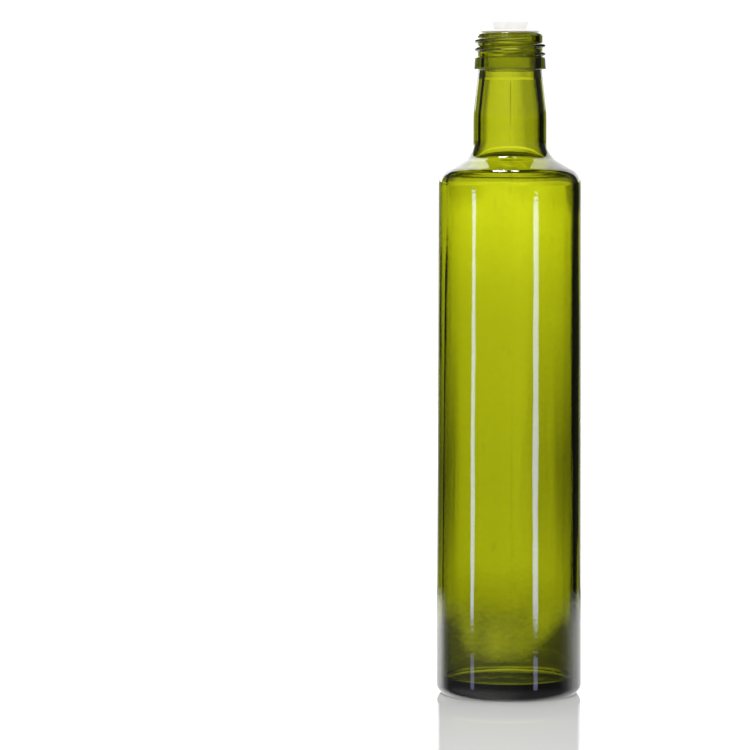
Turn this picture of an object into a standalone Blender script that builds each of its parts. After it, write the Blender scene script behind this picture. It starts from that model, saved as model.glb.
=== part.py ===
# Tall round oil bottle of yellow-green glass, open, with a white pouring insert in its mouth.
# Metres, +Z up. The origin is the centre of the ring that the bottle stands on.
import math

import bmesh
import bpy

# Body
BODY_RADIUS_HEEL = 0.0314
BODY_RADIUS_SHOULDER = 0.0307
BODY_TOP = 0.22417          # where the side and the shoulder cone would meet
BODY_WALL = 0.0035

# Base
RING_OUTER = 0.0291         # flat ring that the bottle stands on
RING_INNER = 0.0271
HEEL_HEIGHT = 0.0025        # where the side and the heel's slope would meet
HEEL_RADIUS = 0.0045
PUSH_UP = 0.0030
FLOOR_RING = 0.0068         # inner floor, beside the wall
FLOOR_CENTRE = 0.0088
INNER_HEEL_RADIUS = 0.0060

# Shoulder and neck
SHOULDER_SLOPE = math.radians(32.0)
SHOULDER_CORNER = 0.0060
NECK_RADIUS = 0.01578
NECK_FILLET = 0.0065
NECK_WALL = 0.0031
NECK_BEND = 0.2496          # the neck is straight below and tapers above
NECK_BEND_RADIUS = 0.080
NECK_TOP_RADIUS = 0.0136

# Finish: collar, thread and rim
COLLAR_BOTTOM = 0.2688
COLLAR_TOP = 0.2740
COLLAR_RADIUS_BOTTOM = 0.01545
COLLAR_RADIUS_TOP = 0.01510
COLLAR_EDGE = 0.0003
FINISH_ROOT = 0.01395
RIM_TOP = 0.2844
RIM_OUTER_EDGE = 0.0013
RIM_INNER_EDGE = 0.0006
BORE_RADIUS = 0.0110
BORE_END = 0.2645           # the bore is straight above and widens below
BORE_BEND_RADIUS = 0.030

THREAD_CREST = 0.01520
THREAD_PITCH = 0.00352
THREAD_TOP = 0.2821         # crest height where the thread starts
THREAD_START = math.radians(-50.0)
THREAD_TURNS = 2.15
THREAD_BASE = 0.0021        # width of the ridge where it leaves the wall
THREAD_LAND = 0.0006        # width of its rounded crest
THREAD_RUN_OUT = math.radians(38.0)
THREAD_DEPTH = 0.0007       # how far the ridge reaches into the wall
THREAD_END_WIDTH = 0.45     # width at its two ends, as a share of the full width
THREAD_END_SINK = 0.4       # how deep its ends lie in the wall, as a share of THREAD_DEPTH

# Pouring insert
INSERT_GAP = 0.0003
FLANGE_RADIUS = 0.01255
FLANGE_THICKNESS = 0.0008
PLUG_LENGTH = 0.0172
PLUG_WALL = 0.0013
PLUG_LEAD = 0.0009
WEB_THICKNESS = 0.0015
THROAT_RADIUS = 0.0053
SPOUT_WAIST = 0.00694
SPOUT_LIP = 0.00822
SPOUT_HEIGHT = 0.0044       # flange underside to lip
SPOUT_LIP_WALL = 0.0006
SPOUT_WAIST_RISE = 0.0006   # flange top to the spout's narrowest place
SPOUT_FLARE_RADIUS = 0.0014
THROAT_FLARE_RADIUS = 0.0020
FLANGE_EDGE = 0.0003
LIP_EDGE = 0.0002

BOTTLE_SIDES = 48
INSERT_SIDES = 36
THREAD_STEPS = 40           # for each turn
SHARP_ANGLE = math.radians(34.0)


def unit(a, b):
    """Direction from a to b, and their distance."""
    dr = b[0] - a[0]
    dz = b[1] - a[1]
    length = math.hypot(dr, dz)
    return dr / length, dz / length, length


def fillet(before, corner, after, radius, steps):
    """Arc of the given radius that rounds a corner of an outline, as steps + 1 points."""
    ur, uz, _ = unit(corner, before)
    vr, vz, _ = unit(corner, after)
    half = math.acos(max(-1.0, min(1.0, ur * vr + uz * vz))) / 2.0
    reach = radius / math.tan(half)
    br, bz, _ = unit((0.0, 0.0), (ur + vr, uz + vz))
    centre = (corner[0] + br * radius / math.sin(half), corner[1] + bz * radius / math.sin(half))
    start = math.atan2(corner[1] + uz * reach - centre[1], corner[0] + ur * reach - centre[0])
    end = math.atan2(corner[1] + vz * reach - centre[1], corner[0] + vr * reach - centre[0])
    sweep = (end - start + math.pi) % (2.0 * math.pi) - math.pi
    return [
        (centre[0] + radius * math.cos(start + sweep * i / steps),
         centre[1] + radius * math.sin(start + sweep * i / steps))
        for i in range(steps + 1)
    ]


def rounded(corners):
    """Outline through corners (r, z, fillet radius, steps); a radius of 0 keeps the corner sharp."""
    points = []
    for i, (r, z, radius, steps) in enumerate(corners):
        if radius == 0.0:
            points.append((r, z))
        else:
            points += fillet(corners[i - 1][:2], (r, z), corners[i + 1][:2], radius, steps)
    return points


def bowl(edge_radius, edge_z, centre_z, steps):
    """Shallow dome from the axis out to edge_radius, as a parabola."""
    return [
        (edge_radius * i / steps, centre_z + (edge_z - centre_z) * (i / steps) ** 2)
        for i in range(steps + 1)
    ]


def finished(name, bm):
    """Object made of a bmesh, faces outwards and smooth up to the sharp angle."""
    mesh = bpy.data.meshes.new(name)
    bmesh.ops.recalc_face_normals(bm, faces=bm.faces)
    bm.to_mesh(mesh)
    bm.free()
    mesh.shade_smooth()
    mesh.set_sharp_from_angle(angle=SHARP_ANGLE)
    obj = bpy.data.objects.new(name, mesh)
    bpy.context.scene.collection.objects.link(obj)
    return obj


def turned(name, outline, sides, closed):
    """Spin an outline of (r, z) points round Z. An open outline starts and ends on the axis."""
    bm = bmesh.new()
    verts = [bm.verts.new((r, 0.0, z)) for r, z in outline]
    pairs = list(zip(verts, verts[1:]))
    if closed:
        pairs.append((verts[-1], verts[0]))
    edges = [bm.edges.new(pair) for pair in pairs]
    bmesh.ops.spin(
        bm, geom=verts + edges, cent=(0.0, 0.0, 0.0), axis=(0.0, 0.0, 1.0),
        angle=2.0 * math.pi, steps=sides, use_merge=True, use_duplicate=False)
    bmesh.ops.remove_doubles(bm, verts=bm.verts, dist=1e-6)
    return finished(name, bm)


def outer_outline():
    """Outside of the glass, from the middle of the underside up to the rim's inner edge."""
    slope = math.tan(SHOULDER_SLOPE)
    neck_foot = BODY_TOP + (BODY_RADIUS_SHOULDER - NECK_RADIUS) * slope
    side = rounded([
        (RING_OUTER, 0.0, 0.0, 0),
        (BODY_RADIUS_HEEL, HEEL_HEIGHT, HEEL_RADIUS, 4),
        (BODY_RADIUS_SHOULDER, BODY_TOP, SHOULDER_CORNER, 6),
        (NECK_RADIUS, neck_foot, NECK_FILLET, 5),
        (NECK_RADIUS, NECK_BEND, NECK_BEND_RADIUS, 2),
        (NECK_TOP_RADIUS, COLLAR_BOTTOM, 0.0, 0),
        (COLLAR_RADIUS_BOTTOM, COLLAR_BOTTOM, COLLAR_EDGE, 1),
        (COLLAR_RADIUS_TOP, COLLAR_TOP, COLLAR_EDGE, 1),
        (FINISH_ROOT, COLLAR_TOP, 0.0, 0),
        (FINISH_ROOT, RIM_TOP, RIM_OUTER_EDGE, 3),
        (BORE_RADIUS, RIM_TOP, RIM_INNER_EDGE, 2),
        (BORE_RADIUS, COLLAR_TOP, 0.0, 0),
    ])
    return bowl(RING_INNER, 0.0, PUSH_UP, 4) + side


def inner_outline():
    """Inside of the glass, from the neck down to the middle of the inner floor."""
    slope = math.tan(SHOULDER_SLOPE)
    lift = BODY_WALL / math.cos(SHOULDER_SLOPE)
    neck_inner = NECK_RADIUS - NECK_WALL
    side_top = BODY_RADIUS_SHOULDER - BODY_WALL
    side_foot = BODY_RADIUS_HEEL - BODY_WALL
    neck_foot = BODY_TOP - lift + (BODY_RADIUS_SHOULDER - neck_inner) * slope
    cone_foot = BODY_TOP - lift + BODY_WALL * slope
    inner = rounded([
        (BORE_RADIUS, COLLAR_TOP, 0.0, 0),
        (BORE_RADIUS, BORE_END, BORE_BEND_RADIUS, 1),
        (neck_inner, NECK_BEND, BORE_BEND_RADIUS, 2),
        (neck_inner, neck_foot, NECK_FILLET + NECK_WALL, 4),
        (side_top, cone_foot, SHOULDER_CORNER - BODY_WALL, 3),
        (side_foot, FLOOR_RING, INNER_HEEL_RADIUS, 5),
        (0.0, FLOOR_CENTRE, 0.0, 0),
    ])
    edge_r, edge_z = inner[-2]
    return inner[1:-1] + bowl(edge_r, edge_z, FLOOR_CENTRE, 4)[-2::-1]


def thread_ridge():
    """Right-handed ridge round the finish, a rounded section carried down a helix."""
    crest = THREAD_CREST - FINISH_ROOT
    land = THREAD_LAND / THREAD_BASE
    # Each pair is the height as a share of the crest, and the place across as a share of half the width.
    above_wall = [(0.0, 1.0), (0.82, 0.62), (1.0, land), (1.0, -land), (0.82, -0.62), (0.0, -1.0)]
    count = round(THREAD_TURNS * THREAD_STEPS)
    sweep = THREAD_TURNS * 2.0 * math.pi
    bm = bmesh.new()
    rings = []
    for i in range(count + 1):
        along = sweep * i / count
        angle = THREAD_START - along
        z = THREAD_TOP - THREAD_PITCH * along / (2.0 * math.pi)
        swell = math.sin(min(1.0, min(along, sweep - along) / THREAD_RUN_OUT) * math.pi / 2.0)
        sunk = THREAD_DEPTH * THREAD_END_SINK * (1.0 - swell)
        share = THREAD_END_WIDTH + (1.0 - THREAD_END_WIDTH) * swell
        half_width = THREAD_BASE * 0.5 * share
        section = [(crest * swell * rise - sunk, half_width * across) for rise, across in above_wall]
        section = [(-THREAD_DEPTH, half_width * 1.1)] + section + [(-THREAD_DEPTH, -half_width * 1.1)]
        rings.append([
            bm.verts.new(((FINISH_ROOT + out) * math.cos(angle), (FINISH_ROOT + out) * math.sin(angle), z + up))
            for out, up in section
        ])
    for a, b in zip(rings, rings[1:]):
        for j in range(len(a)):
            k = (j + 1) % len(a)
            bm.faces.new((a[j], a[k], b[k], b[j]))
    bm.faces.new(rings[0])
    bm.faces.new(rings[-1])
    ridge = finished("thread", bm)
    ridge.hide_render = True
    ridge.display_type = 'WIRE'
    return ridge


def insert_outline():
    """Section of the pouring insert: plug in the bore, flange on the rim, flared spout."""
    flange_bottom = RIM_TOP + INSERT_GAP
    flange_top = flange_bottom + FLANGE_THICKNESS
    plug_radius = BORE_RADIUS - INSERT_GAP
    plug_bottom = flange_bottom - PLUG_LENGTH
    plug_inner = plug_radius - PLUG_WALL
    web_bottom = flange_top - WEB_THICKNESS
    lip = flange_bottom + SPOUT_HEIGHT
    waist_z = flange_top + SPOUT_WAIST_RISE
    return rounded([
        (plug_inner, plug_bottom, 0.0, 0),
        (plug_radius - PLUG_LEAD * 0.5, plug_bottom, 0.0, 0),
        (plug_radius, plug_bottom + PLUG_LEAD, 0.0, 0),
        (plug_radius, flange_bottom, 0.0, 0),
        (FLANGE_RADIUS, flange_bottom, FLANGE_EDGE, 2),
        (FLANGE_RADIUS, flange_top, FLANGE_EDGE, 2),
        (SPOUT_WAIST, flange_top, 0.0005, 3),
        (SPOUT_WAIST, waist_z + LIP_EDGE * 2.0, SPOUT_FLARE_RADIUS, 3),
        (SPOUT_LIP, lip, LIP_EDGE, 2),
        (SPOUT_LIP - SPOUT_LIP_WALL, lip, LIP_EDGE, 2),
        (THROAT_RADIUS, waist_z - LIP_EDGE, THROAT_FLARE_RADIUS, 3),
        (THROAT_RADIUS, web_bottom, LIP_EDGE, 1),
        (plug_inner, web_bottom, 0.0006, 2),
        (plug_inner, plug_bottom, 0.0, 0),
    ])[:-1]


def principled(name, colour, roughness, transmission, ior):
    material = bpy.data.materials.new(name)
    material.use_nodes = True
    shader = material.node_tree.nodes["Principled BSDF"]
    shader.inputs["Base Color"].default_value = (*colour, 1.0)
    shader.inputs["Roughness"].default_value = roughness
    shader.inputs["Metallic"].default_value = 0.0
    shader.inputs["Transmission Weight"].default_value = transmission
    shader.inputs["IOR"].default_value = ior
    material.diffuse_color = (*colour, 1.0)
    return material


def build_bottle():
    bottle = turned("bottle", outer_outline() + inner_outline(), BOTTLE_SIDES, closed=False)
    ridge = bottle.modifiers.new("thread", 'BOOLEAN')
    ridge.operation = 'UNION'
    ridge.solver = 'EXACT'
    ridge.object = thread_ridge()
    bottle.data.materials.append(principled("green_glass", (0.42, 0.46, 0.02), 0.03, 1.0, 1.52))
    return bottle


def build_insert():
    insert = turned("pourer", insert_outline(), INSERT_SIDES, closed=True)
    insert.data.materials.append(principled("white_plastic", (0.88, 0.88, 0.87), 0.35, 0.0, 1.5))
    return insert


def main():
    for obj in list(bpy.data.objects):
        bpy.data.objects.remove(obj, do_unlink=True)
    build_bottle()
    build_insert()


main()
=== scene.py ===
import math

import bpy
import numpy as np
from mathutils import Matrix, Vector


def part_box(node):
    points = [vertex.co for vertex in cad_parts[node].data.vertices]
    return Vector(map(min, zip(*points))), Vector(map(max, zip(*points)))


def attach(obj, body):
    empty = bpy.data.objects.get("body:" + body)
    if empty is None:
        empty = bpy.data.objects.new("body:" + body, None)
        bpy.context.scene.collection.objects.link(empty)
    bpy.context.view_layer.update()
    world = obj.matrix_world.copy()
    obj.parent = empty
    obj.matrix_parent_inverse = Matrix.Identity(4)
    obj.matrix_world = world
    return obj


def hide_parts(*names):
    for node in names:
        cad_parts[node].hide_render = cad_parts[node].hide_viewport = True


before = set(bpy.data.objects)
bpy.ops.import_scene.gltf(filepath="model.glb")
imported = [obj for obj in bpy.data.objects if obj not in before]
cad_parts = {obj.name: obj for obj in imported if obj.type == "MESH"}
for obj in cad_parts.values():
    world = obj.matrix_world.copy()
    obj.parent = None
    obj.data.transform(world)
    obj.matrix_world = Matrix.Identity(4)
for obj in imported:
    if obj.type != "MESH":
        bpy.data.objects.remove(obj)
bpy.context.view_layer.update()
mm = 0.001
print("frame loaded:", sorted(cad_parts))


def outlineOf(corners):
    # Outline as complex numbers r + zi (mm) through corners (r, z, radius, steps).
    # A rounded corner is an arc tangent to both of its sides; a radius of 0 keeps the corner.
    spots = [complex(r, z) for r, z, _, _ in corners]
    stretches = []
    for i, (_, _, radius, steps) in enumerate(corners):
        if radius == 0:
            stretches.append([spots[i]])
            continue
        back = (spots[i - 1] - spots[i]) / abs(spots[i - 1] - spots[i])
        ahead = (spots[i + 1] - spots[i]) / abs(spots[i + 1] - spots[i])
        half = abs(np.angle(ahead / back)) / 2
        centre = spots[i] + (back + ahead) / abs(back + ahead) * radius / math.sin(half)
        start = spots[i] + back * radius / math.tan(half) - centre
        end = spots[i] + ahead * radius / math.tan(half) - centre
        turned = np.angle(end / start) * np.linspace(0, 1, steps + 1)
        stretches.append(centre + start * np.exp(1j * turned))
    return np.concatenate(stretches)


def withRows(points, gap, longStraight=3.0, margin=0.25):
    # The same outline with no stretch longer than gap: each is cut into equal parts along its length.
    # A straight over longStraight first gets a row at margin from both ends, so that the smooth
    # shading of the roundings beside it doesn't spread over it.
    step = np.diff(points)
    inset = np.where(np.abs(step) > longStraight, margin * step / np.abs(step), np.nan)
    rows = np.stack([points[:-1], points[:-1] + inset, points[1:] - inset], -1).ravel()
    points = np.append(rows[~np.isnan(rows)], points[-1])
    step = np.diff(points)
    parts = np.maximum(1, np.ceil(np.abs(step) / gap - 1e-6)).astype(int)
    share = np.arange(parts.sum()) - np.repeat(np.cumsum(parts) - parts, parts)
    filled = np.repeat(points[:-1], parts) + np.repeat(step, parts) * share / np.repeat(parts, parts)
    return np.append(filled, points[-1])


def bowlOf(edgeRadius, edgeHeight, middleHeight, count):
    # Shallow dome from the axis to its edge: height goes with the square of the radius.
    r = np.linspace(0, edgeRadius, count)
    return r + 1j * (middleHeight + (edgeHeight - middleHeight) * (r / edgeRadius) ** 2)


def turnsOf(count):
    # Even turns round Z in radians, from +X: column * 2 pi / count.
    return np.arange(count) * 2 * np.pi / count


def ringPoints(radius, height, turn):
    # Rows and columns of a surface of revolution: x = r cos t, y = r sin t, z = height.
    return np.stack([radius * np.cos(turn), radius * np.sin(turn), height + 0 * turn], -1) * mm


def bandFaces(first, rows, columns):
    # Quads between neighbouring rows of a grid that closes on itself round Z.
    start = first + np.arange(rows - 1)[:, None] * columns
    column = np.arange(columns)[None, :]
    beside = (column + 1) % columns
    quads = [start + column, start + beside, start + columns + beside, start + columns + column]
    return np.stack(np.broadcast_arrays(*quads), -1).reshape(-1, 4)


def fanFaces(pole, first, columns, flip):
    # Triangles from a pole to every edge of the ring that starts at first.
    column = np.arange(columns)
    here, beside = first + column, first + (column + 1) % columns
    return np.stack([pole + 0 * column, beside, here] if flip else [pole + 0 * column, here, beside], -1)


def halvingFaces(fine, coarse, columns):
    # Joins a ring of 2 * columns points to a ring of columns points with three triangles a step.
    column = np.arange(columns)
    beside = (column + 1) % columns
    a, b, c = fine + 2 * column, fine + 2 * column + 1, fine + 2 * beside
    d, e = coarse + column, coarse + beside
    return np.concatenate([np.stack([a, b, d], -1), np.stack([b, e, d], -1), np.stack([b, c, e], -1)])


def makePiece(name, points, faceGroups, material):
    # One mesh object at the origin from an array of points (m) and arrays of faces.
    mesh = bpy.data.meshes.new(name)
    faces = [face for group in faceGroups for face in group.tolist()]
    mesh.from_pydata(points.reshape(-1, 3).tolist(), [], faces)
    mesh.shade_smooth()
    mesh.update()
    piece = bpy.data.objects.new(name, mesh)
    bpy.context.scene.collection.objects.link(piece)
    mesh.materials.append(material)
    return piece


def smoothStep(value, low, high):
    # 0 at low and 1 at high with a soft start and end, 3t^2 - 2t^3; low may be the larger one.
    t = np.clip((value - low) / (high - low), 0, 1)
    return t * t * (3 - 2 * t)


def connect(tree, socket, value):
    # A link where the value is another socket, else the socket's own value.
    if isinstance(value, bpy.types.NodeSocket):
        tree.links.new(value, socket)
    else:
        socket.default_value = value


def mathNode(tree, operation, *values):
    node = tree.nodes.new("ShaderNodeMath")
    node.operation = operation
    for socket, value in zip(node.inputs, values):
        connect(tree, socket, value)
    return node.outputs[0]


def timesNode(tree, a, b):
    return mathNode(tree, "MULTIPLY", a, b)


def largestNode(tree, first, *others):
    for other in others:
        first = mathNode(tree, "MAXIMUM", first, other)
    return first


def rampNode(tree, value, low, high, toLow=0.0, toHigh=1.0):
    # Straight change from toLow at low to toHigh at high, held flat outside.
    node = tree.nodes.new("ShaderNodeMapRange")
    entries = {"Value": value, "From Min": low, "From Max": high, "To Min": toLow, "To Max": toHigh}
    for name, entry in entries.items():
        connect(tree, node.inputs[name], entry)
    return node.outputs[0]


def bandNode(tree, value, low, high, soft):
    # 1 between low and high, fading to 0 over soft on both sides.
    return timesNode(tree, rampNode(tree, value, low - soft, low), rampNode(tree, value, high + soft, high))


def greyOf(level):
    return (level, level, level, 1)


def stopsNode(tree, value, stops):
    # Piecewise straight curve through (position, level) stops, as a colour ramp.
    low, high = stops[0][0], stops[-1][0]
    node = tree.nodes.new("ShaderNodeValToRGB")
    ramp = node.color_ramp
    for position, level in stops[1:-1]:
        ramp.elements.new((position - low) / (high - low)).color = greyOf(level)
    ramp.elements[0].color = greyOf(stops[0][1])
    ramp.elements[len(stops) - 1].color = greyOf(stops[-1][1])
    connect(tree, node.inputs["Fac"], rampNode(tree, value, low, high))
    return node.outputs["Color"]


def mixNode(tree, blend, factor, a, b):
    node = tree.nodes.new("ShaderNodeMix")
    node.data_type = "RGBA"
    node.blend_type = blend
    for place, value in ((0, factor), (6, a), (7, b)):      # the colour sockets of this node
        connect(tree, node.inputs[place], value)
    return node.outputs[2]


def noiseNode(tree, vector, scale, detail=2.0, rough=0.5):
    node = tree.nodes.new("ShaderNodeTexNoise")
    for name, entry in (("Vector", vector), ("Scale", scale), ("Detail", detail), ("Roughness", rough)):
        connect(tree, node.inputs[name], entry)
    return node.outputs["Fac"]


def mappedNode(tree, vector, scale):
    node = tree.nodes.new("ShaderNodeMapping")
    connect(tree, node.inputs["Vector"], vector)
    connect(tree, node.inputs["Scale"], scale)
    return node.outputs[0]


def objectSpot(tree):
    return tree.nodes.new("ShaderNodeTexCoord").outputs["Object"]


def bumpNode(tree, height, distance, strength):
    node = tree.nodes.new("ShaderNodeBump")
    for name, entry in (("Height", height), ("Distance", distance), ("Strength", strength)):
        connect(tree, node.inputs[name], entry)
    return node.outputs[0]


def newMaterial(name):
    material = bpy.data.materials.new(name)
    material.use_nodes = True
    return material, material.node_tree, material.node_tree.nodes["Principled BSDF"]


marksLook = {
    "scales": {"Patch Scale": 40.0, "Grain Scale": 900.0, "Speck Scale": 300.0},    # a material gives its own
    "patchRange": (0.35, 0.65), "patchDetail": 3.0, "grainDetail": 2.0, "rough": 0.6,
    "speckEdge": (0.16, 0.06),              # from the middle of a cell, in parts of the cell
    "speckChosen": (0.56, 0.62),            # specks stand only where a broad noise is over this
}


def makeWearGroup():
    # Marks of handling and storage: broad cloudy patches, finer grain and sparse small specks, each 0 to 1.
    look = marksLook
    group = bpy.data.node_groups.new("surfaceMarks", "ShaderNodeTree")
    group.interface.new_socket("Vector", in_out="INPUT", socket_type="NodeSocketVector")
    for name, value in look["scales"].items():
        socket = group.interface.new_socket(name, in_out="INPUT", socket_type="NodeSocketFloat")
        socket.default_value = value
    for name in ("Patches", "Grain", "Specks"):
        group.interface.new_socket(name, in_out="OUTPUT", socket_type="NodeSocketFloat")
    inside = group.nodes.new("NodeGroupInput").outputs
    outside = group.nodes.new("NodeGroupOutput").inputs
    patches = noiseNode(group, inside["Vector"], inside["Patch Scale"], look["patchDetail"], look["rough"])
    connect(group, outside["Patches"], rampNode(group, patches, *look["patchRange"]))
    grain = noiseNode(group, inside["Vector"], inside["Grain Scale"], look["grainDetail"], look["rough"])
    connect(group, outside["Grain"], grain)
    cells = group.nodes.new("ShaderNodeTexVoronoi")
    connect(group, cells.inputs["Vector"], inside["Vector"])
    connect(group, cells.inputs["Scale"], inside["Speck Scale"])
    speck = rampNode(group, cells.outputs["Distance"], *look["speckEdge"])
    broad = noiseNode(group, inside["Vector"], inside["Patch Scale"], 1.0)
    connect(group, outside["Specks"], timesNode(group, speck, rampNode(group, broad, *look["speckChosen"])))
    return group


wearGroup = makeWearGroup()


def marksOn(tree, vector, patch, grain, speck):
    # The group of marks placed in one material, with that material's own scales.
    node = tree.nodes.new("ShaderNodeGroup")
    node.node_tree = wearGroup
    entries = {"Vector": vector, "Patch Scale": patch, "Grain Scale": grain, "Speck Scale": speck}
    for name, entry in entries.items():
        connect(tree, node.inputs[name], entry)
    return node.outputs["Patches"], node.outputs["Grain"], node.outputs["Specks"]


glassFinish = {
    "absorbColour": (0.75, 0.765, 0.0),     # with the density, what a metre of glass lets through
    "absorbDensity": 800.0,
    "bend": 1.52,
    "tintLow": (0.955, 0.965, 0.93), "tintHigh": (1.0, 1.0, 0.99), "tintSpeck": (0.8, 0.8, 0.74),
    "marks": (55.0, 1400.0, 170.0), "marksStretch": (1, 1, 0.35),
    "smear": 0.012,                         # roughness of the cloudiest patches
    "flowScale": 95.0, "flowStretch": (1, 1, 0.12), "flowRelief": 0.55,     # ripple drawn out in the blowing
    "peelScale": 420.0, "peelRelief": 0.02,
    "seamPlace": 0.0011,                    # mould seam (m), right of the middle of the front
    "seamSide": (0.0003, 0.00006), "seamEnd": (0.2745, 0.2738), "seamRelief": 0.12,
    "reliefDepth": 0.00035, "reliefStrength": 0.6,
}


def makeGlass():
    look = glassFinish
    material, tree, shader = newMaterial("yellowGreenGlass")
    spot = objectSpot(tree)
    patches, grain, specks = marksOn(tree, mappedNode(tree, spot, look["marksStretch"]), *look["marks"])
    shader.inputs["Transmission Weight"].default_value = 1.0
    shader.inputs["IOR"].default_value = look["bend"]
    connect(tree, shader.inputs["Roughness"], rampNode(tree, patches, 0, 1, 0.0, look["smear"]))
    tint = mixNode(tree, "MIX", grain, (*look["tintLow"], 1), (*look["tintHigh"], 1))
    connect(tree, shader.inputs["Base Color"], mixNode(tree, "MIX", specks, tint, (*look["tintSpeck"], 1)))
    flow = noiseNode(tree, mappedNode(tree, spot, look["flowStretch"]), look["flowScale"], 2.0)
    peel = noiseNode(tree, spot, look["peelScale"], 1.0)
    split = tree.nodes.new("ShaderNodeSeparateXYZ")
    connect(tree, split.inputs[0], spot)
    aside = mathNode(tree, "ABSOLUTE", mathNode(tree, "SUBTRACT", split.outputs["X"], look["seamPlace"]))
    seam = rampNode(tree, aside, *look["seamSide"])
    seam = timesNode(tree, seam, rampNode(tree, split.outputs["Z"], *look["seamEnd"]))
    relief = timesNode(tree, flow, look["flowRelief"])
    relief = mathNode(tree, "ADD", relief, timesNode(tree, peel, look["peelRelief"]))
    relief = mathNode(tree, "ADD", relief, timesNode(tree, seam, look["seamRelief"]))
    bump = bumpNode(tree, relief, look["reliefDepth"], look["reliefStrength"])
    connect(tree, shader.inputs["Normal"], bump)
    absorb = tree.nodes.new("ShaderNodeVolumeAbsorption")
    absorb.inputs["Color"].default_value = (*look["absorbColour"], 1)
    absorb.inputs["Density"].default_value = look["absorbDensity"]
    connect(tree, tree.nodes["Material Output"].inputs["Volume"], absorb.outputs[0])
    return material


cadGlass = [[value / mm for value in corner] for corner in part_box("bottle")]
glassShape = {                              # mm and degrees; pairs are where an effect starts and is full
    "heelRadius": 31.4, "heelHeight": 2.5, "heelRound": 4.5, "sideFoot": 6.5,
    "shoulderRadius": 30.7, "shoulderHeight": 224.3, "shoulderRound": 8.2, "slope": 30.0,
    "ringOuter": 29.1, "ringInner": 27.1, "ringEdge": 0.5, "pushUpRadius": 26.9, "pushUp": 3.0,
    "neckRadius": 15.78, "neckRound": 9.0, "neckBend": 249.6, "neckBendRound": 40.0, "neckTop": 13.6,
    "collarBottom": 268.8, "collarTop": 274.0, "collarLow": 15.45, "collarHigh": 15.10, "collarEdge": 0.3,
    "underCollar": 0.25, "overCollar": 0.2,
    "finishRoot": 13.95, "rimTop": cadGlass[1][2], "rimOuterEdge": 1.3, "rimInnerEdge": 0.6,
    "bore": 11.0, "boreEnd": 264.5, "boreBend": 1.5,
    "wall": 3.5, "coneWall": 3.0, "neckWall": 3.1, "floorRing": 7.0, "floorMiddle": 8.8,
    "innerNeckBendRound": 37.0, "innerNeckRound": 13.0, "innerShoulderRound": 5.2, "innerHeelRound": 1.8,
    "columns": 240, "footGap": 0.45, "bodyGap": 5.0, "neckGap": 1.6, "finishGap": 0.2,
    "beads": 120, "beadDepth": 0.30, "beadInner": (26.3, 27.2), "beadOuter": (29.8, 29.1), "beadTop": 1.2,
    "seamTurn": -88.0, "seamHeight": 0.05, "seamWidth": 0.45, "seamFoot": (6, 24), "seamTop": (266, 264),
    "partingHeight": 267.55, "partingRise": 0.12, "partingWidth": 0.28, "partingSway": 0.12,
    "waveFoot": (12, 34), "waveTop": (226, 208),
}
threadShape = {
    "crest": 15.2, "pitch": 3.52, "top": 282.1, "start": -50.0, "turns": 2.15,
    "width": 2.1, "land": 0.6, "runOut": 38.0, "endWidth": 0.45, "flank": 2.4,
}
innerWaves = [                              # times round, size (mm), phase, twist for each mm of height
    (2, 0.16, 0.6, 0.004), (3, 0.12, 2.1, -0.006), (5, 0.07, 4.0, 0.010), (9, 0.035, 1.3, -0.012),
    (16, 0.012, 5.0, 0.02),
]


def wavesOf(waves, turn, height):
    # Sum of slow waves round the wall: size * cos(count * turn + phase + twist * height).
    return sum(size * np.cos(count * turn + phase + twist * height) for count, size, phase, twist in waves)


def threadRise(turn, height, root):
    # Height of the thread over the finish: a helix falls one pitch a turn, and each place takes the
    # highest pass near it. Across the ridge the rise is 1 on its land and falls as 1 - t^flank to its foot.
    shape = threadShape
    sweep = shape["turns"] * 2 * np.pi
    land = shape["land"] / shape["width"]
    rise = np.zeros(np.broadcast(turn, height).shape)
    for lap in range(math.ceil(shape["turns"])):
        along = (math.radians(shape["start"]) - turn) % (2 * np.pi) + lap * 2 * np.pi
        middle = shape["top"] - shape["pitch"] * along / (2 * np.pi)
        ends = np.minimum(along, sweep - along) / math.radians(shape["runOut"])
        swell = np.sin(np.clip(ends, 0, 1) * np.pi / 2)
        half = shape["width"] / 2 * (shape["endWidth"] + (1 - shape["endWidth"]) * swell)
        across = np.clip((np.abs(height - middle) / half - land) / (1 - land), 0, 1)
        rise = np.maximum(rise, (shape["crest"] - root) * swell * (1 - across ** shape["flank"]))
    return rise


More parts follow.
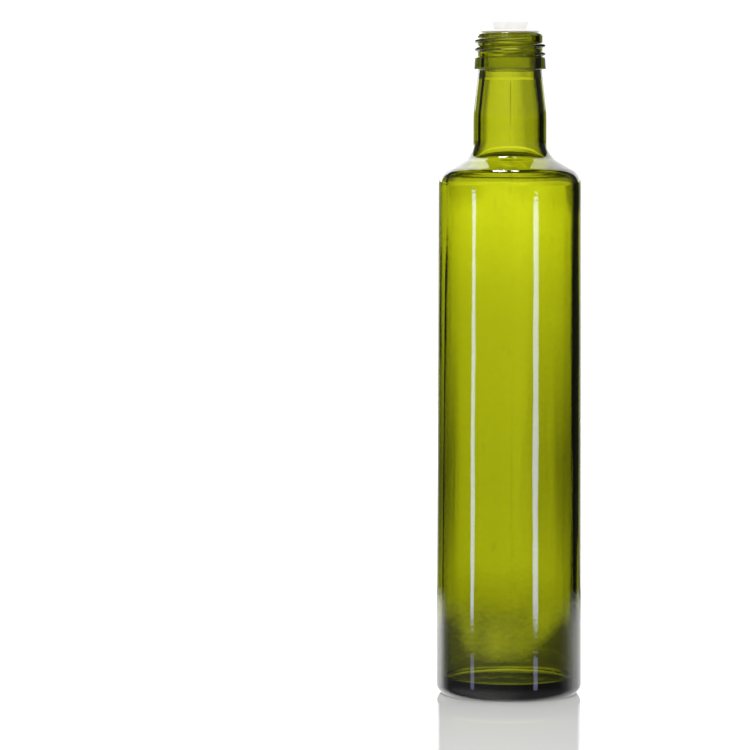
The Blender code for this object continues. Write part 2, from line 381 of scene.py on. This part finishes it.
def glassOutlines():
    # The section of the glass in three parts, foot, outside and inside, each from corners with tangent arcs.
    # The cone's inner line is its outer line moved down by its wall over the slope's cosine.
    g = glassShape
    slope = math.tan(math.radians(g["slope"]))
    lift = g["coneWall"] / math.cos(math.radians(g["slope"]))
    neckFoot = g["shoulderHeight"] + (g["shoulderRadius"] - g["neckRadius"]) * slope

    foot = outlineOf([
        (g["ringInner"], 0, 0, 0), (g["ringOuter"], 0, g["ringEdge"], 3),
        (g["heelRadius"], g["heelHeight"], g["heelRound"], 9),
        (g["shoulderRadius"], g["shoulderHeight"], 0, 0)])[:-1]
    foot = np.concatenate([bowlOf(g["pushUpRadius"], 0.0, g["pushUp"], 6), withRows(foot, g["footGap"])])

    side = outlineOf([
        (g["heelRadius"], g["sideFoot"], 0, 0),
        (g["shoulderRadius"], g["shoulderHeight"], g["shoulderRound"], 16),
        (g["neckRadius"], neckFoot, g["neckRound"], 14),
        (g["neckRadius"], g["neckBend"], 0, 0)])[:-1]
    tapered = np.interp(
        g["sideFoot"], [g["heelHeight"], g["shoulderHeight"]], [g["heelRadius"], g["shoulderRadius"]])
    side[0] = complex(tapered, g["sideFoot"])
    neck = outlineOf([
        (g["neckRadius"], neckFoot, 0, 0), (g["neckRadius"], g["neckBend"], g["neckBendRound"], 10),
        (g["neckTop"], g["collarBottom"], g["underCollar"], 3),
        (g["collarLow"], g["collarBottom"], g["collarEdge"], 4),
        (g["collarHigh"], g["collarTop"], g["collarEdge"], 4),
        (g["finishRoot"], g["collarTop"], g["overCollar"], 3), (g["finishRoot"], g["rimTop"], 0, 0)])[1:-1]
    finish = np.array([neck[-1], complex(g["finishRoot"], g["rimTop"] - g["rimOuterEdge"])])
    rim = outlineOf([
        (g["finishRoot"], g["collarTop"], 0, 0), (g["finishRoot"], g["rimTop"], g["rimOuterEdge"], 7),
        (g["bore"], g["rimTop"], g["rimInnerEdge"], 5), (g["bore"], g["collarTop"], 0, 0)])[1:-1]
    outside = np.concatenate([
        withRows(np.append(side, neck[0]), g["bodyGap"])[:-1], withRows(neck, g["neckGap"])[:-1],
        withRows(finish, g["finishGap"])[:-1], rim])

    neckInner = g["neckRadius"] - g["neckWall"]
    sideInner = g["shoulderRadius"] - g["wall"]
    coneFoot = g["shoulderHeight"] - lift
    inside = outlineOf([
        (g["bore"], g["collarTop"], 0, 0), (g["bore"], g["boreEnd"], g["boreBend"], 4),
        (neckInner, g["neckBend"], g["innerNeckBendRound"], 10),
        (neckInner, coneFoot + (g["shoulderRadius"] - neckInner) * slope, g["innerNeckRound"], 9),
        (sideInner, coneFoot + g["wall"] * slope, g["innerShoulderRound"], 9),
        (g["heelRadius"] - g["wall"], g["floorRing"], g["innerHeelRound"], 10),
        (0, g["floorMiddle"], 0, 0)])[:-1]
    floor = bowlOf(inside[-1].real, inside[-1].imag, g["floorMiddle"], 8)[::-1][1:]
    return foot, outside, withRows(np.concatenate([inside, floor]), g["bodyGap"])


def makeBottle(material):
    g = glassShape
    columns = g["columns"]
    foot, outer, inner = glassOutlines()
    coarse, fine = turnsOf(columns), turnsOf(2 * columns)

    # Foot: the standing ring is knurled, so its underside rises by half a cosine between the beads.
    r, z = foot.real[1:, None], foot.imag[1:, None]
    within = smoothStep(r, *g["beadInner"]) * smoothStep(r, *g["beadOuter"])
    knurl = g["beadDepth"] * within * (0.5 - 0.5 * np.cos(g["beads"] * fine))
    footPoints = ringPoints(r, z + np.where(z < g["beadTop"], knurl, 0), fine)

    # Outside: thread on the finish, a seam down both sides of the mould as a bell curve across, and the
    # neck ring's parting line, a bell curve upwards whose size and height waver round the ring.
    r, z = outer.real[:, None], outer.imag[:, None]
    onFinish = (np.abs(r - g["finishRoot"]) < 1e-6) & (z > g["collarTop"])
    radius = r + np.where(onFinish, threadRise(coarse, z, g["finishRoot"]), 0)
    seamTurn = math.radians(g["seamTurn"])
    fromFront = np.abs(np.angle(np.exp(1j * (coarse - seamTurn))))
    fromBack = np.abs(np.angle(np.exp(1j * (coarse - seamTurn - np.pi))))
    off = np.minimum(fromFront, fromBack) * r
    seam = g["seamHeight"] * np.exp(-(off / g["seamWidth"]) ** 2)
    radius = radius + seam * smoothStep(z, *g["seamFoot"]) * smoothStep(z, *g["seamTop"])
    ragged = 0.45 * np.sin(11 * coarse + 1.0) * np.sin(29 * coarse) + 0.25 * np.sin(53 * coarse + 2.0)
    above = z - g["partingHeight"] - g["partingSway"] * np.sin(7 * coarse)
    radius = radius + g["partingRise"] * (0.55 + ragged) * np.exp(-(above / g["partingWidth"]) ** 2)
    outerPoints = ringPoints(radius, z, coarse)

    # Inside: blown against no mould, so the wall waves slowly round the bottle.
    r, z = inner.real[:-1, None], inner.imag[:-1, None]
    free = smoothStep(z, *g["waveFoot"]) * smoothStep(z, *g["waveTop"])
    innerPoints = ringPoints(r + wavesOf(innerWaves, coarse, z) * free, z, coarse)

    # The two poles come first, then the foot's fine rings, then the rings of the wall, out and back in.
    poles = [[0, 0, foot[0].imag * mm], [0, 0, inner[-1].imag * mm]]
    skins = [skin.reshape(-1, 3) for skin in (footPoints, outerPoints, innerPoints)]
    footRows, wallRows = len(footPoints), len(outerPoints) + len(innerPoints)
    wallStart = 2 + footRows * 2 * columns
    faces = [
        fanFaces(0, 2, 2 * columns, True), bandFaces(2, footRows, 2 * columns),
        halvingFaces(wallStart - 2 * columns, wallStart, columns), bandFaces(wallStart, wallRows, columns),
        fanFaces(1, wallStart + (wallRows - 1) * columns, columns, False)]
    triangles = sum(len(group) * (group.shape[1] - 2) for group in faces)
    print("bottle:", footRows, "foot rows,", wallRows, "wall rows,", triangles, "triangles")
    return makePiece("glassBottle", np.concatenate([poles, *skins]), faces, material)


bottle = makeBottle(makeGlass())
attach(bottle, "root")
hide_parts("bottle")


plasticFinish = {
    "name": "naturalWhitePlastic", "pale": (0.90, 0.90, 0.885), "milky": (0.84, 0.845, 0.83),
    "speck": (0.70, 0.69, 0.64), "marks": (220.0, 2600.0, 700.0),
    "grainRange": (0.3, 0.7), "rough": (0.26, 0.42),
    "bend": 1.51, "glow": 0.25, "depth": 0.0012, "clear": 0.0,
    "turnedScale": 260.0, "turnedStretch": (1, 1, 14), "turnedRelief": 0.6, "grainRelief": 0.4,
    "reliefDepth": 0.00003, "reliefStrength": 0.7,
}
plugFinish = {
    **plasticFinish, "name": "thinNaturalPlastic", "pale": (0.95, 0.95, 0.93), "milky": (0.90, 0.905, 0.88),
    "rough": (0.04, 0.08), "bend": 1.30, "glow": 0.0, "clear": 0.92,
}


def makePlastic(look):
    material, tree, shader = newMaterial(look["name"])
    spot = objectSpot(tree)
    patches, grain, specks = marksOn(tree, spot, *look["marks"])
    colour = mixNode(tree, "MIX", patches, (*look["pale"], 1), (*look["milky"], 1))
    connect(tree, shader.inputs["Base Color"], mixNode(tree, "MIX", specks, colour, (*look["speck"], 1)))
    connect(tree, shader.inputs["Roughness"], rampNode(tree, grain, *look["grainRange"], *look["rough"]))
    shader.inputs["IOR"].default_value = look["bend"]
    shader.inputs["Subsurface Weight"].default_value = look["glow"]
    shader.inputs["Subsurface Scale"].default_value = look["depth"]
    shader.inputs["Transmission Weight"].default_value = look["clear"]
    # Faint rings left by the turned mould, and grain.
    turned = noiseNode(tree, mappedNode(tree, spot, look["turnedStretch"]), look["turnedScale"], 1.0)
    relief = timesNode(tree, turned, look["turnedRelief"])
    relief = mathNode(tree, "ADD", relief, timesNode(tree, grain, look["grainRelief"]))
    bump = bumpNode(tree, relief, look["reliefDepth"], look["reliefStrength"])
    connect(tree, shader.inputs["Normal"], bump)
    return material


cadInsert = [[value / mm for value in corner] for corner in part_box("pourer")]
insertShape = {                             # mm
    "plugRadius": 10.7, "plugInner": 9.4, "plugBottom": cadInsert[0][2], "lead": 0.9, "leadRound": 0.5,
    "flangeBottom": glassShape["rimTop"] + 0.3, "flange": 0.8,
    "flangeRadius": cadInsert[1][0], "flangeEdge": 0.3,
    "web": 1.5, "webRound": 0.6, "throat": 5.3, "throatRound": 2.0,
    "waist": 6.94, "waistRise": 0.6, "waistRound": 1.4, "waistFoot": 0.5,
    "lip": 8.22, "lipWall": 0.6, "spout": cadInsert[1][2],
    "shrink": 0.04, "outOfRound": 0.03, "gap": 0.6, "columns": 176,
}


def makePourer(material, thinMaterial):
    # One closed outline, from the plug's inner end out over the flange and the lip and back down the
    # throat, turned round Z.
    p = insertShape
    flangeTop = p["flangeBottom"] + p["flange"]
    webBottom = flangeTop - p["web"]
    waist = flangeTop + p["waistRise"]
    outline = outlineOf([
        (p["plugInner"] + 0.3, p["plugBottom"] + 0.5, 0, 0),        # sets the way into the first rounding
        (p["plugInner"], p["plugBottom"], 0.12, 2),
        (p["plugRadius"] - p["lead"] / 2, p["plugBottom"], 0.15, 3),
        (p["plugRadius"], p["plugBottom"] + p["lead"], p["leadRound"], 3),
        (p["plugRadius"], p["flangeBottom"], 0.15, 3),
        (p["flangeRadius"], p["flangeBottom"], p["flangeEdge"], 5),
        (p["flangeRadius"], flangeTop, p["flangeEdge"], 5), (p["waist"], flangeTop, p["waistFoot"], 6),
        (p["waist"], waist + 0.4, p["waistRound"], 7),
        (p["lip"], p["spout"], 0.25, 5), (p["lip"] - p["lipWall"], p["spout"], 0.2, 5),
        (p["throat"], waist - 0.2, p["throatRound"], 7), (p["throat"], webBottom, 0.25, 4),
        (p["plugInner"], webBottom, p["webRound"], 5), (p["plugInner"], p["plugBottom"], 0, 0)])[1:-1]
    outline = withRows(np.append(outline, outline[0]), p["gap"])[:-1]
    columns = p["columns"]
    turn = turnsOf(columns)
    radius, height = outline.real[:, None], outline.imag[:, None]
    # The free end of the plug has drawn in a little as it cooled, out of round by a hair.
    below = smoothStep(height, p["flangeBottom"] - 2, p["plugBottom"])
    drawnIn = below * (p["shrink"] + p["outOfRound"] * np.cos(2 * turn + 0.7))
    closing = bandFaces(0, 2, columns)      # from the last row back to the first
    closing = np.where(closing < columns, closing + (len(outline) - 1) * columns, closing - columns)
    faces = [bandFaces(0, len(outline), columns), closing]
    piece = makePiece("pouringInsert", ringPoints(radius - drawnIn, height, turn), faces, material)
    # The plug's wall is so thin that it lets the light through; the flange and the spout look white.
    piece.data.materials.append(thinMaterial)
    middles = np.empty(len(piece.data.polygons) * 3)
    piece.data.polygons.foreach_get("center", middles)
    onPlug = middles[2::3] < (p["flangeBottom"] - 0.1) * mm
    piece.data.polygons.foreach_set("material_index", onPlug.astype(np.int32))
    print("pourer:", len(outline), "rows")
    return piece


pourer = makePourer(makePlastic(plasticFinish), makePlastic(plugFinish))
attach(pourer, "root")
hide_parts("pourer")


floorLook = {
    "size": 1.6, "colour": 0.92, "clouded": (0.985, 0.985, 0.98), "marks": (9.0, 500.0, 60.0),
    "rough": 0.05, "roughSpread": 0.1, "grainRange": (0.2, 0.8), "bend": 1.40,
}


def makeFloor():
    # One flat square: corners at plus and minus the size in x and y, z = 0.
    look = floorLook
    material, tree, shader = newMaterial("whiteTable")
    patches, grain, _ = marksOn(tree, objectSpot(tree), *look["marks"])
    clouded = [look["colour"] * part for part in look["clouded"]]
    colour = mixNode(tree, "MIX", patches, greyOf(look["colour"]), (*clouded, 1))
    connect(tree, shader.inputs["Base Color"], colour)
    roughs = [look["rough"] * (1 - look["roughSpread"]), look["rough"] * (1 + look["roughSpread"])]
    connect(tree, shader.inputs["Roughness"], rampNode(tree, grain, *look["grainRange"], *roughs))
    shader.inputs["IOR"].default_value = look["bend"]
    half = look["size"]
    mesh = bpy.data.meshes.new("table")
    corners = [(-half, -half, 0), (half, -half, 0), (half, half, 0), (-half, half, 0)]
    mesh.from_pydata(corners, [], [(0, 1, 2, 3)])
    table = bpy.data.objects.new("table", mesh)
    bpy.context.scene.collection.objects.link(table)
    mesh.materials.append(material)
    table.visible_glossy = False            # the glass sees the lights in place of the table's reflection
    table.visible_transmission = False
    return table


makeFloor()

# Elevations and bearings in degrees; bearings from +Y, the far side, turning towards +X, the right.
# Stops are (angle, level); a pair of angles is where an effect starts and where it is full.
studio = {
    "seen": 1.05,                           # backdrop as the camera sees it
    "fill": 1.15,                           # what lights the table and the plastic
    "fillInGlass": 2.2,                     # what lights the plastic behind the glass
    "fillRise": (0.75, 1.1), "fillFront": 0.12,

    # Seen through the glass
    "behind": 3.3,
    "behindStops": [
        (-90, 0.08), (-11, 0.06), (-9.2, 0.06), (-8.4, 0.05), (-8.05, 0.09), (-7.4, 0.42), (-6.8, 0.54),
        (-5.9, 0.52), (-4.3, 0.56), (-2.7, 0.59), (-1.1, 0.92), (-0.6, 0.68), (-0.15, 0.57), (0.5, 0.6),
        (4.5, 0.6), (7, 0.3), (9, 0.06), (27, 0.06), (38, 0.9), (70, 0.9)],
    "below": 1.25,                          # pale table, seen from the other sides and from above
    "belowSide": (30, 48), "belowRise": (-8, -14), "belowDeep": (-36, -46),
    "flagRight": (25, 72), "flagLeft": (-60, -40), "flagSoft": 2.5,
    "flagReach": (-8.5, 40), "flagLevel": 0.01,
    "leftRise": [(-8.5, 1), (-1.9, 1), (-1.3, 0.1), (-0.5, 0.1), (-0.35, 1), (40, 1)],
    "sideLeft": (-6.5, -11), "sideRight": (0.6, 6),
    "sideStops": [
        (-8.4, 0.2), (-7.4, 0.1), (-6.8, 0.25), (-5.9, 0.5), (-5.1, 0.58), (-4.3, 0.4), (-2.9, 0.05),
        (-1, 0.0)],
    "neckShade": [(-1.0, 0.0), (-0.5, 0.4), (3, 0.4)],
    "outerSide": (11, 16), "outerRise": [(-0.7, 0), (-0.2, 0.5), (10, 0.5)],

    # Mirrored by the glass
    "gloss": 3.3, "dark": 0.03,
    "around": 0.12, "aroundRise": (5, 30), "aroundSoft": 2.0,
    "whiteStops": [(-36, 0), (-33, 1), (0, 1), (8, 0.62), (33, 0.62), (36, 0)], "whiteRise": (4, 55),
    "edgeStops": [(0, 0.5), (12, 0.48), (18, 0.33), (24, 0.145), (30, 0.02), (34, 0.0)],
    "edgeRise": (-7.1, 5), "edgeSoft": 0.4,
    "lowStops": [
        (-70, 0.05), (-58, 0.2), (-50, 0.5), (-44, 0.65), (-34, 0.6), (-20, 0.5), (0, 0.36), (30, 0.42),
        (56, 0.42), (66, 0.27), (76, 0.13), (88, 0.05), (100, 0)],
    "lowRise": [(-80, 0.9), (-14, 0.9), (-8.6, 1), (-7.5, 1), (-7.1, 0)],
    "heelStops": [
        (-180, 0.2), (-148, 0.27), (-117, 0.27), (-84, 0.15), (-66, 0.0), (70, 0.0), (84, 0.08), (150, 0.1),
        (180, 0.2)],
    "heelRise": [(-80, 1), (-11, 1), (-9, 0.35), (-7.5, 0.25), (-7.1, 0)],

    # Strip lights: bearing and half width; small lights overhead: bearing, elevation and radius
    "strips": [(137.0, 4.3), (-120.0, 3.2)], "stripSoft": 0.4, "stripLevel": 10.4,
    "stripStops": [
        (-10, 0), (-9.4, 0.35), (-8.1, 0.35), (-7.9, 0.02), (-7.6, 0.02), (-7.2, 1), (-0.78, 1), (-0.7, 0),
        (8.5, 0)],
    "stripColour": (0.58, 0.56, 1.0),
    "topLights": [(-50, 79.5, 6.0), (32, 83, 3.5)], "topSoft": 0.15, "topLevel": 40.0,
}


def throughGlass(tree, rise, bearing, aside):
    # Bright backdrop by elevation, dark flags at both sides that draw the edges, shade beside the middle.
    s = studio
    left = bandNode(tree, bearing, *s["flagLeft"], s["flagSoft"])
    left = timesNode(tree, left, stopsNode(tree, rise, s["leftRise"]))
    flags = largestNode(tree, bandNode(tree, bearing, *s["flagRight"], s["flagSoft"]), left)
    flags = timesNode(tree, flags, bandNode(tree, rise, *s["flagReach"], 1.0))
    light = timesNode(tree, stopsNode(tree, rise, s["behindStops"]), s["behind"])
    light = timesNode(tree, light, rampNode(tree, flags, 0, 1, 1.0, s["flagLevel"]))
    below = timesNode(tree, rampNode(tree, aside, *s["belowSide"]), rampNode(tree, rise, *s["belowRise"]))
    below = largestNode(tree, below, rampNode(tree, rise, *s["belowDeep"]))
    light = largestNode(tree, light, timesNode(tree, below, s["below"]))
    right = rampNode(tree, bearing, *s["sideRight"])
    sides = largestNode(tree, rampNode(tree, bearing, *s["sideLeft"]), right)
    shade = largestNode(
        tree, timesNode(tree, sides, stopsNode(tree, rise, s["sideStops"])),
        timesNode(tree, right, stopsNode(tree, rise, s["neckShade"])),
        timesNode(tree, rampNode(tree, aside, *s["outerSide"]), stopsNode(tree, rise, s["outerRise"])))
    return timesNode(tree, light, rampNode(tree, shade, 0, 1, 1.0, 0.0))


def roundLight(tree, direction, bearing, rise, size):
    # 1 inside a cone of that radius round its aim, from the cosine between the two directions.
    b, e = math.radians(bearing), math.radians(rise)
    node = tree.nodes.new("ShaderNodeVectorMath")
    node.operation = "DOT_PRODUCT"
    connect(tree, node.inputs[0], direction)
    connect(tree, node.inputs[1], (math.sin(b) * math.cos(e), math.cos(b) * math.cos(e), math.sin(e)))
    limit = math.cos(math.radians(size))
    return rampNode(tree, node.outputs["Value"], limit, limit + studio["topSoft"] * (1 - limit))


def mirroredByGlass(tree, direction, rise, bearing, aside):
    # White behind and low down, a dark room, two tall strip lights and two small lights overhead.
    s = studio
    fields = [
        (stopsNode(tree, bearing, s["whiteStops"]), bandNode(tree, rise, *s["whiteRise"], 1.0)),
        (stopsNode(tree, aside, s["edgeStops"]), bandNode(tree, rise, *s["edgeRise"], s["edgeSoft"])),
        (stopsNode(tree, bearing, s["lowStops"]), stopsNode(tree, rise, s["lowRise"])),
        (stopsNode(tree, bearing, s["heelStops"]), stopsNode(tree, rise, s["heelRise"])),
    ]
    white = largestNode(tree, *[timesNode(tree, across, upwards) for across, upwards in fields])
    around = timesNode(tree, bandNode(tree, rise, *s["aroundRise"], s["aroundSoft"]), s["around"])
    top = largestNode(tree, *[roundLight(tree, direction, *light) for light in s["topLights"]])
    plain = rampNode(tree, white, 0, 1, s["dark"], s["gloss"])
    plain = largestNode(tree, plain, around, timesNode(tree, top, s["topLevel"]))
    strip = largestNode(tree, *[
        bandNode(tree, bearing, middle - half, middle + half, s["stripSoft"])
        for middle, half in s["strips"]])
    strip = timesNode(tree, timesNode(tree, strip, stopsNode(tree, rise, s["stripStops"])), s["stripLevel"])
    tinted = mixNode(tree, "MULTIPLY", 1.0, strip, (*s["stripColour"], 1))
    return mixNode(tree, "LIGHTEN", 1.0, plain, tinted)


def makeWorld():
    s = studio
    world = bpy.data.worlds.new("studio")
    world.use_nodes = True
    tree = world.node_tree
    direction = tree.nodes.new("ShaderNodeTexCoord").outputs["Generated"]
    split = tree.nodes.new("ShaderNodeSeparateXYZ")
    connect(tree, split.inputs[0], direction)
    x, y, z = split.outputs
    degrees = 180 / math.pi
    rise = timesNode(tree, mathNode(tree, "ARCSINE", z), degrees)
    bearing = timesNode(tree, mathNode(tree, "ARCTAN2", x, y), degrees)
    aside = mathNode(tree, "ABSOLUTE", bearing)
    behind = throughGlass(tree, rise, bearing, aside)
    gloss = mirroredByGlass(tree, direction, rise, bearing, aside)

    # Soft light on matt things: even all round, a little stronger from above and in front.
    path = tree.nodes.new("ShaderNodeLightPath").outputs
    fromFront = rampNode(tree, y, 1, -1, -s["fillFront"], s["fillFront"])
    fill = mathNode(tree, "ADD", rampNode(tree, z, -1, 1, *s["fillRise"]), fromFront)
    inGlass = mathNode(tree, "GREATER_THAN", path["Transmission Depth"], 0.5)
    fill = timesNode(tree, fill, rampNode(tree, inGlass, 0, 1, s["fill"], s["fillInGlass"]))

    matt = mathNode(tree, "GREATER_THAN", path["Diffuse Depth"], 0.5)
    colour = mixNode(tree, "MIX", path["Is Transmission Ray"], gloss, behind)
    colour = mixNode(tree, "MIX", matt, colour, fill)
    colour = mixNode(tree, "MIX", path["Is Camera Ray"], colour, greyOf(s["seen"]))
    connect(tree, tree.nodes["Background"].inputs["Color"], colour)
    world.cycles.sampling_method = "NONE"
    bpy.context.scene.world = world


makeWorld()

scene = bpy.context.scene
scene.view_settings.view_transform = "Standard"
scene.view_settings.look = "None"
scene.cycles.max_bounces = 32
scene.cycles.transmission_bounces = 32
scene.cycles.glossy_bounces = 24
scene.cycles.sample_clamp_indirect = 20.0

cameraPlace = {
    "spot": (0.0, -1.5573, 0.24288), "down": 3.87, "left": 2.13,
    "focal": 3620.0, "image": 750.0,        # pixels
    "sensor": 36.0,
}


def makeCamera():
    c = cameraPlace
    data = bpy.data.cameras.new("camera")
    data.sensor_width = c["sensor"]
    data.lens = c["focal"] / c["image"] * c["sensor"]
    data.clip_end = 50.0
    camera = bpy.data.objects.new("camera", data)
    camera.location = c["spot"]
    camera.rotation_euler = (math.radians(90 - c["down"]), 0, math.radians(c["left"]))
    bpy.context.scene.collection.objects.link(camera)
    bpy.context.scene.camera = camera


makeCamera()
print("studio ready")
